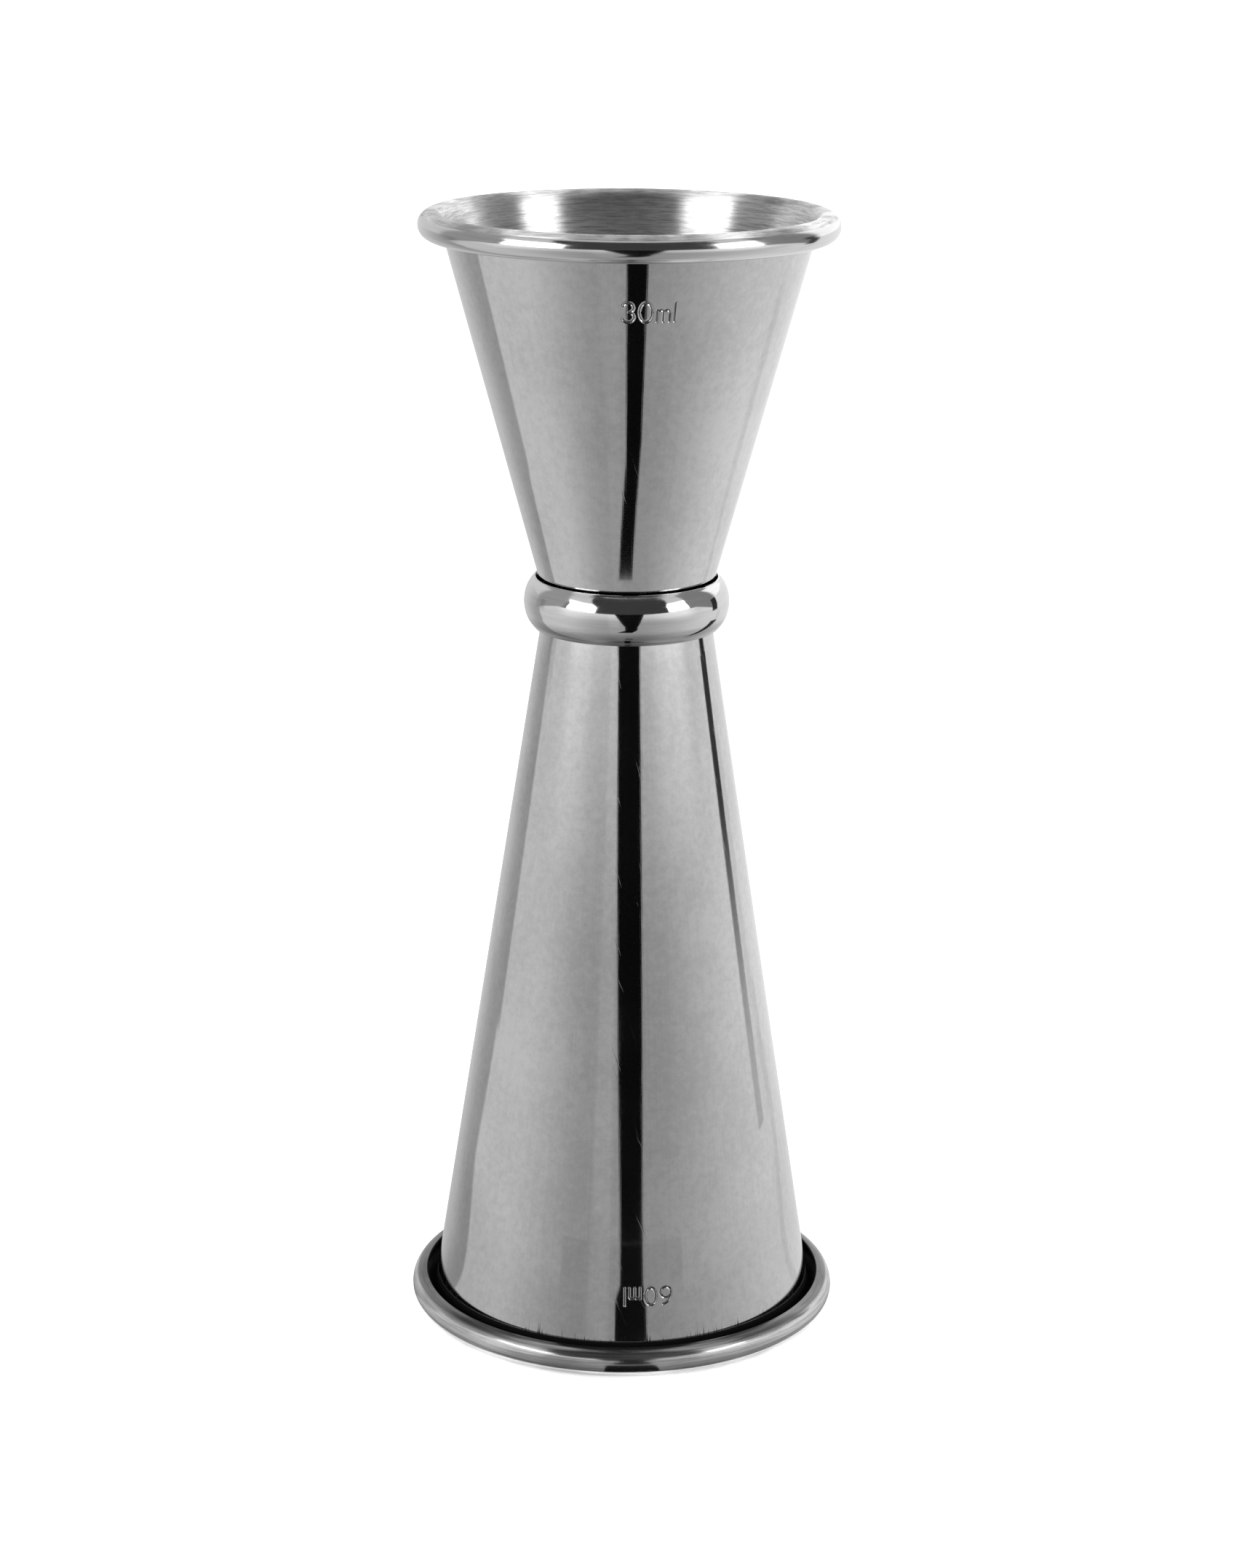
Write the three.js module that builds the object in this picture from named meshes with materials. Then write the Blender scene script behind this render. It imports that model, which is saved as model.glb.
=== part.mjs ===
// Bar jigger: two tapered stainless steel cups joined base to base, with a rounded collar round the waist.
// Millimetres, +Z up. The origin is the centre of the plane that the large cup's rim stands on.

import * as THREE from 'three';

// ---- driving dimensions -------------------------------------------------------------------------

const OVERALL_HEIGHT = 128;    // from the large cup's rim to the small cup's rim
const WAIST_HEIGHT = 84.4;     // the plane between the two cup bases
const SHEET = 0.6;             // wall thickness of both drawn cups
const FIT_GAP = 0.3;           // clearance between neighbouring pieces at the waist

const SMALL_CUP = {
  rimHeight: OVERALL_HEIGHT - WAIST_HEIGHT,   // waist plane to rim
  waistRadius: 9.2,                           // outer cone radius, carried on to the waist plane
  curlCentreRadius: 21.7,
  curlRadius: 1.5,
};

const LARGE_CUP = {
  rimHeight: WAIST_HEIGHT,
  waistRadius: 9.27,
  curlCentreRadius: 23.2,
  curlRadius: 1.65,
};

const RIM_LAND_HALF_WIDTH = 0.35;   // narrow flat that the curl stands on
const BASE_CORNER_RADIUS = 1.2;     // inside corner between a cup's floor and its wall

const COLLAR_CENTRE_RADIUS = 9.2;   // centre of the elliptical section
const COLLAR_BULGE = 2.4;           // how far the section stands out from that centre
const COLLAR_SECTION_HALF = 3.3;    // half height of the whole ellipse
const COLLAR_HALF_HEIGHT = 2.85;    // where its two edges are cut off square

const BRAZE_THICKNESS = 0.4;        // filler disc between the two cup bases
const BRAZE_RADIUS = 7.4;

const TURNS = 64;                   // facets round the axis
const ARC_STEP = Math.PI / 9;       // facets along curls and corners
const COLLAR_STEPS = 10;            // facets over the collar's crown

// ---- derived dimensions -------------------------------------------------------------------------

const baseOffset = BRAZE_THICKNESS / 2 + FIT_GAP;   // waist plane to the outside of a cup's base

// Where a cup's straight wall and its rim curl lie. Heights are measured from the waist plane to the rim.
function cupShape({ rimHeight, waistRadius, curlCentreRadius, curlRadius }) {
  const landAngle = Math.asin(RIM_LAND_HALF_WIDTH / curlRadius);
  const curlHeight = rimHeight - curlRadius * Math.cos(landAngle);
  // The wall leaves the curl on a tangent, so its lean is found by a short fixed-point search.
  let lean = 0;
  for (let i = 0; i < 20; i += 1) {
    const wallRadius = curlCentreRadius - (curlRadius - SHEET) / Math.cos(lean);
    lean = Math.atan((wallRadius - waistRadius) / curlHeight);
  }
  return { curlRadius, curlCentreRadius, curlHeight, landAngle, waistRadius, lean };
}

// Outer wall radius at a height above the waist plane.
function wallRadius(shape, height) {
  return shape.waistRadius + height * Math.tan(shape.lean);
}

const smallShape = cupShape(SMALL_CUP);
const largeShape = cupShape(LARGE_CUP);

// ---- outlines -----------------------------------------------------------------------------------

// Points on an arc from one angle to another, both ends included.
function arc(centreRadius, centreHeight, radius, from, to) {
  const steps = Math.max(1, Math.round(Math.abs(to - from) / ARC_STEP));
  return Array.from({ length: steps + 1 }, (_, i) => {
    const angle = from + (to - from) * i / steps;
    return new THREE.Vector2(
      centreRadius + radius * Math.cos(angle),
      centreHeight + radius * Math.sin(angle),
    );
  });
}

// One face of a cup's base corner: an arc that runs from the level base into the leaning wall.
function cornerArc(shape, centreHeight, radius, centreRadius) {
  return arc(centreRadius, centreHeight, radius, -Math.PI / 2, -shape.lean);
}

// Closed outline of one cup, as a single sheet whose rim is curled outwards and left open below.
function cupOutline(shape) {
  const { curlRadius, curlCentreRadius, curlHeight, landAngle, lean } = shape;
  const floor = baseOffset + SHEET;
  const cornerHeight = floor + BASE_CORNER_RADIUS;
  const cornerCentre = wallRadius(shape, cornerHeight) - (SHEET + BASE_CORNER_RADIUS) / Math.cos(lean);
  const wallAngle = Math.PI - lean;
  const lipAngle = -Math.PI / 2;
  const top = Math.PI / 2;
  return [
    new THREE.Vector2(0, floor),
    ...cornerArc(shape, cornerHeight, BASE_CORNER_RADIUS, cornerCentre),
    ...arc(curlCentreRadius, curlHeight, curlRadius, wallAngle, top + landAngle),
    ...arc(curlCentreRadius, curlHeight, curlRadius, top - landAngle, lipAngle),
    ...arc(curlCentreRadius, curlHeight, curlRadius - SHEET, lipAngle, wallAngle),
    ...cornerArc(shape, cornerHeight, BASE_CORNER_RADIUS + SHEET, cornerCentre).reverse(),
    new THREE.Vector2(0, baseOffset),
  ];
}

// Closed outline of the collar: an elliptical crown over a bore that follows both cones.
function collarOutline() {
  const crownEnd = Math.asin(COLLAR_HALF_HEIGHT / COLLAR_SECTION_HALF);
  const crown = Array.from({ length: COLLAR_STEPS + 1 }, (_, i) => {
    const angle = crownEnd * (2 * i / COLLAR_STEPS - 1);
    return new THREE.Vector2(
      COLLAR_CENTRE_RADIUS + COLLAR_BULGE * Math.cos(angle),
      WAIST_HEIGHT + COLLAR_SECTION_HALF * Math.sin(angle),
    );
  });
  const bore = [
    new THREE.Vector2(wallRadius(smallShape, COLLAR_HALF_HEIGHT) + FIT_GAP, WAIST_HEIGHT + COLLAR_HALF_HEIGHT),
    new THREE.Vector2(Math.max(smallShape.waistRadius, largeShape.waistRadius) + FIT_GAP, WAIST_HEIGHT),
    new THREE.Vector2(wallRadius(largeShape, COLLAR_HALF_HEIGHT) + FIT_GAP, WAIST_HEIGHT - COLLAR_HALF_HEIGHT),
  ];
  return [...crown, ...bore, crown[0].clone()];
}

// ---- solids -------------------------------------------------------------------------------------

// Turns an outline into a solid of revolution about Z, with its faces pointing outwards.
function turned(name, outline, material) {
  const anticlockwise = THREE.ShapeUtils.area(outline) > 0;
  const geometry = new THREE.LatheGeometry(anticlockwise ? outline : [...outline].reverse(), TURNS);
  geometry.rotateX(Math.PI / 2);
  const mesh = new THREE.Mesh(geometry, material);
  mesh.name = name;
  return mesh;
}

function smallCup(material) {
  const outline = cupOutline(smallShape).map((p) => new THREE.Vector2(p.x, WAIST_HEIGHT + p.y));
  return turned('small_cup', outline, material);
}

function largeCup(material) {
  const outline = cupOutline(largeShape).map((p) => new THREE.Vector2(p.x, WAIST_HEIGHT - p.y));
  return turned('large_cup', outline, material);
}

function waistCollar(material) {
  return turned('waist_collar', collarOutline(), material);
}

function baseBraze(material) {
  const half = BRAZE_THICKNESS / 2;
  const outline = [
    new THREE.Vector2(0, WAIST_HEIGHT - half),
    new THREE.Vector2(BRAZE_RADIUS, WAIST_HEIGHT - half),
    new THREE.Vector2(BRAZE_RADIUS, WAIST_HEIGHT + half),
    new THREE.Vector2(0, WAIST_HEIGHT + half),
  ];
  return turned('base_braze', outline, material);
}

// ---- assembly -----------------------------------------------------------------------------------

const cupSteel = new THREE.MeshStandardMaterial({ color: 0xb9babc, roughness: 0.18, metalness: 1 });
const collarSteel = new THREE.MeshStandardMaterial({ color: 0xc2c3c5, roughness: 0.1, metalness: 1 });
const brazeAlloy = new THREE.MeshStandardMaterial({ color: 0xb8b29f, roughness: 0.5, metalness: 1 });

const jigger = new THREE.Group();
jigger.add(
  smallCup(cupSteel),
  largeCup(cupSteel),
  waistCollar(collarSteel),
  baseBraze(brazeAlloy),
);

export default jigger;
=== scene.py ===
"""Bar jigger: the finished surfaces, the studio and the camera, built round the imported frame.

Lengths in this file are millimetres unless a name says otherwise; M turns them into Blender's metres.
Azimuth is measured round the jigger from the side that faces the camera (-Y), towards +X.
"""

import math

import bmesh
import bpy
import numpy as np
from mathutils import Matrix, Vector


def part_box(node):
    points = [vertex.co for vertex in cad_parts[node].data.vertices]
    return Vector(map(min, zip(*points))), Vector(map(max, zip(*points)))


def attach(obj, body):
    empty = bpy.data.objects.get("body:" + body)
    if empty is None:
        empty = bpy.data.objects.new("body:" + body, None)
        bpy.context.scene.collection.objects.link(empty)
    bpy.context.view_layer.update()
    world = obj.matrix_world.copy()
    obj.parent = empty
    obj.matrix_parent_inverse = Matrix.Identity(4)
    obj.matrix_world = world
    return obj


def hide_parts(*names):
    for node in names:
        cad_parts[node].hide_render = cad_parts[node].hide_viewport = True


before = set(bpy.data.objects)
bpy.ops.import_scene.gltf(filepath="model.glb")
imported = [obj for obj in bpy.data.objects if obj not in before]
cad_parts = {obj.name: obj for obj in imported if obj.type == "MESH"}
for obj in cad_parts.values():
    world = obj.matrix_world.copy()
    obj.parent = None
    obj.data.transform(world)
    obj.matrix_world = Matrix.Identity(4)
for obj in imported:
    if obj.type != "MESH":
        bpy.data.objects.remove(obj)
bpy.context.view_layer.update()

M = 0.001

# ---- the jigger's dimensions, the same as the frame's ---------------------------------------------

SHEET = 0.6
BASE_OFFSET = 0.5              # waist plane to the outside of a cup's base
BASE_CORNER_RADIUS = 1.2
RIM_LAND_HALF_WIDTH = 0.35
LIP_ROUND = 0.12               # the cut edge of the curl is eased by this much
BROW_STEPS = 4                 # arc steps outside the land that may be brushed like the inside
ON_AXIS = 1e-9                 # a smaller radius is on the axis

WAIST_HEIGHT = 84.4
OVERALL_HEIGHT = round(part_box("small_cup")[1].z / M, 3)

SMALL_CUP = {"rim_height": OVERALL_HEIGHT - WAIST_HEIGHT, "waist_radius": 9.2,
             "curl_centre_radius": 21.7, "curl_radius": 1.5}
LARGE_CUP = {"rim_height": WAIST_HEIGHT, "waist_radius": 9.27,
             "curl_centre_radius": 23.2, "curl_radius": 1.65}

COLLAR_CENTRE_RADIUS = 9.2
COLLAR_BULGE = 2.4
COLLAR_SECTION_HALF = 3.3
COLLAR_HALF_HEIGHT = 2.85
COLLAR_EDGE_ROUND = 0.12
COLLAR_GAP = 0.3

# ---- mesh fineness --------------------------------------------------------------------------------

TURN_STEP = math.radians(1.5)      # round the axis
ARC_STEP = math.radians(9)         # along curls and corners
WALL_STEP = 3.0                    # along straight walls
FLOOR_STEP = 1.0                   # across a cup's floor
CROWN_POINTS = 41                  # over the collar's crown
MARK_STEP = 0.06                   # both ways, under the engraved marks
SHARP_ANGLE = math.radians(40)     # edges turn sharply past this

# ---- capacity marks -------------------------------------------------------------------------------

MARK_DEPTH = 0.09
MARK_HALF_STROKE = 0.15
MARK_MARGIN = 0.3
MARK_FLOOR = 0.3               # a face is part of a stroke's floor where the cut is deeper than this
SMALL_MARK = {"text": "30ml", "size": 2.15, "turned": False,
              "azimuth": math.radians(6.5), "height": 119.6}
LARGE_MARK = {"text": "60ml", "size": 2.0, "turned": True,
              "azimuth": math.radians(8.2), "height": 8.5}

# ---- painted shade in the seam beside each rim curl -----------------------------------------------

SEAM_REACH = 0.1               # how far up the wall it shows, past the curl's lip
SEAM_TICK = 1.4                # longest streak above that
SEAM_SOFT = 0.12               # half the height over which it fades out
SEAM_SHADE_COLOR = (0.02, 0.02, 0.02)

# ---- finishes -------------------------------------------------------------------------------------

# Ranges are parts of a noise's span from 0 to 1, over which something goes from none to all.
SHADE_RANGE = (0.38, 0.62)
BLOTCH_RANGE = (0.3, 0.7)
WEAR_RANGE = (0.42, 0.62)
SMUDGE_RANGE = (0.35, 0.7)
SCRATCH_RANGE = (0.69, 0.75)
TICK_RANGE = (0.55, 0.75)

CUP_TONE = 0.62
CUP_TONE_SPREAD = (0.90, 1.08)
TURNED_DEPTH_SHARE = 0.06      # the turned lines' depth, as a share of the grain's
SCRATCH_DEPTH_SHARE = -0.6     # scratches are cut in
SCRATCH_ROUGHNESS = 0.05
SEAM_ROUGHNESS = 0.5
WEAR_ROUGHNESS = 0.15
WEAR_REACH = 1.2
MARK_COLOR = (0.15, 0.15, 0.15)
# Painted shade: the large rim's colour darkens over the top of its curl, beside the wall.
LARGE_RIM_PAINTED_SHADE = (2.75, 2.98, 0.3)     # from a height, to a height, and the share of the tone there
# Painted shade: the collar's colour darkens towards its lower edge, under the collar.
COLLAR_PAINTED_SHADE = (83.6, 82.3, 0.45)
INSIDE_FINISH = {"tone": 0.69, "rough": (0.32, 0.37), "pitch_mm": 0.20, "line_depth": 0.005,
                 "stretch": 1.0, "across": 6, "contrast": 0.34}

# ---- camera ---------------------------------------------------------------------------------------

CAMERA_DISTANCE = 380.3
CAMERA_HEIGHT = 172.4
CAMERA_SIDE = 0.25
CAMERA_PITCH = math.radians(16.08)
CAMERA_ROLL = math.radians(0.43)
LENS_MM = 79.34
SENSOR_MM = 36.0


# ==== outlines =====================================================================================

def arc(centre_radius, centre_height, radius, start, end, step=ARC_STEP):
    """Points (radius, height) on an arc, both ends included."""
    count = max(1, round(abs(end - start) / step))
    angle = np.linspace(start, end, count + 1)
    return np.column_stack([centre_radius + radius * np.cos(angle),
                            centre_height + radius * np.sin(angle)])


def cup_shape(rim_height, waist_radius, curl_centre_radius, curl_radius):
    """Where a cup's straight wall and its rim curl lie, with heights from the waist to the rim."""
    land_angle = math.asin(RIM_LAND_HALF_WIDTH / curl_radius)
    curl_height = rim_height - curl_radius * math.cos(land_angle)
    lean = 0.0
    for _ in range(20):        # the lean and the wall's radius at the curl depend on each other
        radius_at_curl = curl_centre_radius - (curl_radius - SHEET) / math.cos(lean)
        lean = math.atan((radius_at_curl - waist_radius) / curl_height)
    return {"curl_radius": curl_radius, "curl_centre_radius": curl_centre_radius,
            "curl_height": curl_height, "land_angle": land_angle,
            "waist_radius": waist_radius, "lean": lean}


def wall_radius(shape, height):
    return shape["waist_radius"] + height * math.tan(shape["lean"])


def seam_height(shape, sign):
    """Height over the table where the seam beside a cup's curl begins."""
    lip = shape["curl_height"] - shape["curl_radius"]
    return WAIST_HEIGHT + sign * (lip - SEAM_REACH)


def spaced(start, end, step):
    """Even steps from start to end, without the two ends."""
    count = max(2, round(abs(end - start) / step))
    return np.linspace(start, end, count + 1)[1:-1]


def straight_wall(start, end, dense_span=None):
    """Points strictly between two ends of a wall, packed closely over a span of heights."""
    heights = list(spaced(start[1], end[1], WALL_STEP))
    if dense_span:
        low, high = dense_span
        heights = [h for h in heights if not low - WALL_STEP / 2 < h < high + WALL_STEP / 2]
        heights += list(np.arange(low, high, MARK_STEP))
    heights = np.array(sorted(heights, reverse=bool(end[1] < start[1])))
    share = (heights - start[1]) / (end[1] - start[1])
    return np.column_stack([start[0] + share * (end[0] - start[0]), heights])


def eased_lip(shape):
    """The cut edge of the curl, from its outer face round to its inner one."""
    radius, height = shape["curl_centre_radius"], shape["curl_height"]
    outer = height - shape["curl_radius"] + LIP_ROUND
    inner = height - shape["curl_radius"] + SHEET - LIP_ROUND
    quarter = math.pi / 2
    return np.vstack([
        arc(radius, outer, LIP_ROUND, -quarter, -2 * quarter, quarter / 3),
        arc(radius, inner, LIP_ROUND, 2 * quarter, quarter, quarter / 3),
    ])


def cup_outline(shape, mark_span):
    """Closed outline of a cup, with the part of the surface at each point."""
    lean, curl_radius = shape["lean"], shape["curl_radius"]
    centre_radius, curl_height = shape["curl_centre_radius"], shape["curl_height"]
    quarter = math.pi / 2
    floor = BASE_OFFSET + SHEET
    corner_height = floor + BASE_CORNER_RADIUS
    corner_centre = (wall_radius(shape, corner_height)
                     - (SHEET + BASE_CORNER_RADIUS) / math.cos(lean))
    inner_corner = arc(corner_centre, corner_height, BASE_CORNER_RADIUS, -quarter, -lean)
    outer_corner = arc(corner_centre, corner_height, BASE_CORNER_RADIUS + SHEET, -lean, -quarter)
    over_rim = arc(centre_radius, curl_height, curl_radius,
                   math.pi - lean, quarter + shape["land_angle"])
    round_rim = arc(centre_radius, curl_height, curl_radius,
                    quarter - shape["land_angle"], -quarter)
    under_rim = arc(centre_radius, curl_height, curl_radius - SHEET, -quarter, math.pi - lean)
    floor_radii = spaced(0, inner_corner[0][0], FLOOR_STEP)
    inner_floor = np.column_stack([floor_radii, np.full(len(floor_radii), floor)])
    sections = [
        ("inside", [[0, floor]]),
        ("inside", inner_floor),
        ("inside", inner_corner),
        ("inside", straight_wall(inner_corner[-1], over_rim[0])),
        ("inside", over_rim),
        ("brow", round_rim[:BROW_STEPS]),
        ("rim", round_rim[BROW_STEPS:]),
        ("seam", eased_lip(shape)),
        ("seam", under_rim[:-1]),
        ("outside", under_rim[-1:]),
        ("outside", straight_wall(under_rim[-1], outer_corner[0], mark_span)),
        ("outside", outer_corner),
        ("outside", [[0, BASE_OFFSET]]),
    ]
    points = np.vstack([np.asarray(p, float) for _, p in sections])
    parts = [part for part, p in sections for _ in range(len(p))]
    return points, parts


def collar_outline(small, large):
    """Closed outline of the collar: an elliptical crown, eased edges and a bore that follows the cups."""
    top = WAIST_HEIGHT + COLLAR_HALF_HEIGHT
    bottom = WAIST_HEIGHT - COLLAR_HALF_HEIGHT
    crown_end = math.asin((COLLAR_HALF_HEIGHT - COLLAR_EDGE_ROUND) / COLLAR_SECTION_HALF)
    angle = np.linspace(-crown_end, crown_end, CROWN_POINTS)
    crown = np.column_stack([COLLAR_CENTRE_RADIUS + COLLAR_BULGE * np.cos(angle),
                             WAIST_HEIGHT + COLLAR_SECTION_HALF * np.sin(angle)])
    edge_radius = crown[-1][0] - COLLAR_EDGE_ROUND
    bore_top = wall_radius(small, COLLAR_HALF_HEIGHT) + COLLAR_GAP
    bore_bottom = wall_radius(large, COLLAR_HALF_HEIGHT) + COLLAR_GAP
    quarter = math.pi / 2
    return np.vstack([
        crown,
        arc(edge_radius, top - COLLAR_EDGE_ROUND, COLLAR_EDGE_ROUND,
            quarter / 2, quarter, quarter / 4),
        [[bore_top, top]],
        [[LARGE_CUP["waist_radius"] + COLLAR_GAP, WAIST_HEIGHT]],
        [[bore_bottom, bottom]],
        arc(edge_radius, bottom + COLLAR_EDGE_ROUND, COLLAR_EDGE_ROUND,
            -quarter, -quarter / 2, quarter / 4),
    ])


# ==== engraved marks ===============================================================================

def stroke_arc(x, y, across, up, start, end, count=14):
    """Points on part of an ellipse, in glyph units, with its angles in degrees."""
    angle = np.radians(np.linspace(start, end, count))
    return np.column_stack([x + across * np.cos(angle), y + up * np.sin(angle)])


def arch(x):
    """One hump of the letter m, and the stem that it ends in."""
    return np.vstack([stroke_arc(x + 0.16, 0.46, 0.16, 0.16, 180, 0), [[x + 0.32, 0]]])


# Plain single-stroke figures. Each entry is a width and the strokes; the height of a figure is 1.
GLYPHS = {
    "3": (0.58, [stroke_arc(0.29, 0.75, 0.26, 0.25, 150, -90),
                 stroke_arc(0.29, 0.25, 0.29, 0.25, 90, -150)]),
    "6": (0.62, [stroke_arc(0.31, 0.31, 0.31, 0.31, 0, 360, 28),
                 stroke_arc(0.58, 0.31, 0.58, 0.69, 180, 100)]),
    "0": (0.62, [stroke_arc(0.31, 0.5, 0.31, 0.5, 0, 360, 28)]),
    "m": (0.64, [np.array([[0, 0], [0, 0.62]]), arch(0), arch(0.32)]),
    "l": (0.0, [np.array([[0, 0], [0, 1]])]),
}
GLYPH_GAP = 0.26
STROKE_FLAT = 0.3              # share of a stroke's half width that is cut to full depth


def mark_segments(mark):
    """Line segments of a mark, centred on the origin, in millimetres."""
    starts, ends, pen = [], [], 0.0
    for character in mark["text"]:
        width, strokes = GLYPHS[character]
        for stroke in strokes:
            stroke = stroke + [pen, -0.5]
            starts.append(stroke[:-1])
            ends.append(stroke[1:])
        pen += width + GLYPH_GAP
    middle = np.array([(pen - GLYPH_GAP) / 2, 0])
    return (np.vstack(starts) - middle) * mark["size"], (np.vstack(ends) - middle) * mark["size"]


def mark_half_size(mark):
    """Half the width and half the height of the patch that a mark needs."""
    starts, ends = mark_segments(mark)
    reach = np.abs(np.vstack([starts, ends])).max(axis=0)
    return reach + MARK_HALF_STROKE + MARK_MARGIN


def groove(points, mark):
    """How deep the mark's strokes cut at each point of its patch, from 0 to 1."""
    if mark["turned"]:
        points = -points
    starts, ends = mark_segments(mark)
    along = ends - starts
    offset = points[:, None, :] - starts[None]
    share = np.clip((offset * along).sum(-1) / (along ** 2).sum(-1), 0, 1)
    distance = np.linalg.norm(offset - share[..., None] * along, axis=-1).min(axis=1)
    fall = np.clip((distance / MARK_HALF_STROKE - STROKE_FLAT) / (1 - STROKE_FLAT), 0, 1)
    return 1 - fall * fall * (3 - 2 * fall)


# ==== meshes =======================================================================================

def turned_angles(mark=None, mark_radius=None):
    """Azimuths round the whole turn, packed closely across a mark."""
    angles = np.arange(-math.pi, math.pi - TURN_STEP / 2, TURN_STEP)
    if mark:
        half = mark_half_size(mark)[0] / mark_radius
        low, high = mark["azimuth"] - half, mark["azimuth"] + half
        outside = angles[(angles < low - TURN_STEP / 3) | (angles > high + TURN_STEP / 3)]
        dense = np.linspace(low, high, round((high - low) * mark_radius / MARK_STEP) + 1)
        angles = np.sort(np.concatenate([outside, dense]))
    return angles


def turned_mesh(name, radius, height, angles, parts, slots, cut=None):
    """Mesh of a surface of revolution, in metres. radius, height and cut hold one row per azimuth.

    parts names the part of the surface at each outline point, and slots lists the parts in the order
    of the material slots. A face where cut is deep takes the part called mark.
    """
    turns, rows = radius.shape
    on_axis = radius[0] < ON_AXIS
    index = np.zeros((turns, rows), int)
    vertices = []
    for j in range(rows):
        if on_axis[j]:
            index[:, j] = len(vertices)
            vertices.append((0.0, 0.0, height[0, j] * M))
        else:
            index[:, j] = len(vertices) + np.arange(turns)
            vertices.extend(zip(radius[:, j] * np.sin(angles) * M,
                                -radius[:, j] * np.cos(angles) * M, height[:, j] * M))
    closes_on_itself = not on_axis[0]
    faces, face_slots = [], []
    for j in range(rows if closes_on_itself else rows - 1):
        k = (j + 1) % rows
        for i in range(turns):
            n = (i + 1) % turns
            corners = [index[i, j], index[n, j], index[n, k], index[i, k]]
            faces.append(tuple(dict.fromkeys(int(c) for c in corners)))
            part = parts[k] if on_axis[j] else parts[j]
            if cut is not None:
                shallowest = min(cut[i, j], cut[n, j], cut[n, k], cut[i, k])
                if shallowest > MARK_FLOOR:
                    part = "mark"
            face_slots.append(slots.index(part))
    mesh = bpy.data.meshes.new(name)
    mesh.from_pydata(vertices, [], faces)
    mesh.polygons.foreach_set("material_index", face_slots)
    mesh.polygons.foreach_set("use_smooth", [True] * len(faces))
    mesh.set_sharp_from_angle(angle=SHARP_ANGLE)
    mesh.update()
    return mesh


def add_piece(name, mesh, materials, node):
    """The finished piece that stands in for one of the frame's nodes."""
    piece = bpy.data.objects.new(name, mesh)
    bpy.context.scene.collection.objects.link(piece)
    for material in materials:
        mesh.materials.append(material)
    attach(piece, "root")
    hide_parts(node)
    return piece


def outward(mesh):
    """Turns every face to look out of the closed mesh."""
    work = bmesh.new()
    work.from_mesh(mesh)
    bmesh.ops.recalc_face_normals(work, faces=work.faces)
    work.to_mesh(mesh)
    work.free()
    return mesh


CUP_PARTS = ["outside", "rim", "inside", "seam", "mark", "brow"]


def build_cup(name, node, shape, mark, upright, materials):
    """One cup. The small cup stands upright on the waist and the large one hangs below it.

    materials holds one for each of CUP_PARTS.
    """
    sign = 1 if upright else -1
    mark_along = sign * (mark["height"] - WAIST_HEIGHT)
    mark_radius = wall_radius(shape, mark_along)
    half_height = mark_half_size(mark)[1] * math.cos(shape["lean"])
    points, parts = cup_outline(shape, (mark_along - half_height, mark_along + half_height))
    angles = turned_angles(mark, mark_radius)
    radius = np.tile(points[:, 0], (len(angles), 1))
    along = np.tile(points[:, 1], (len(angles), 1))

    across = (angles - mark["azimuth"]) * mark_radius
    cut = np.zeros_like(radius)
    near_rows = [j for j, part in enumerate(parts)
                 if part == "outside" and abs(points[j, 1] - mark_along) <= half_height]
    near_turns = np.flatnonzero(np.abs(across) <= mark_half_size(mark)[0])
    for j in near_rows:
        up = sign * (points[j, 1] - mark_along) / math.cos(shape["lean"])
        patch = np.column_stack([across[near_turns], np.full(len(near_turns), up)])
        cut[near_turns, j] = groove(patch, mark)
    radius -= MARK_DEPTH * cut * math.cos(shape["lean"])
    along += MARK_DEPTH * cut * math.sin(shape["lean"])

    mesh = turned_mesh(name, radius, WAIST_HEIGHT + sign * along, angles, parts, CUP_PARTS, cut)
    return add_piece(name, outward(mesh), materials, node)


def build_collar(small, large, material):
    points = collar_outline(small, large)
    angles = turned_angles()
    radius = np.tile(points[:, 0], (len(angles), 1))
    height = np.tile(points[:, 1], (len(angles), 1))
    parts = ["outside"] * len(points)
    mesh = turned_mesh("waist_collar_ring", radius, height, angles, parts, ["outside"])
    return add_piece("waist_collar_ring", outward(mesh), [material], "waist_collar")


# ==== materials ====================================================================================

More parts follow.
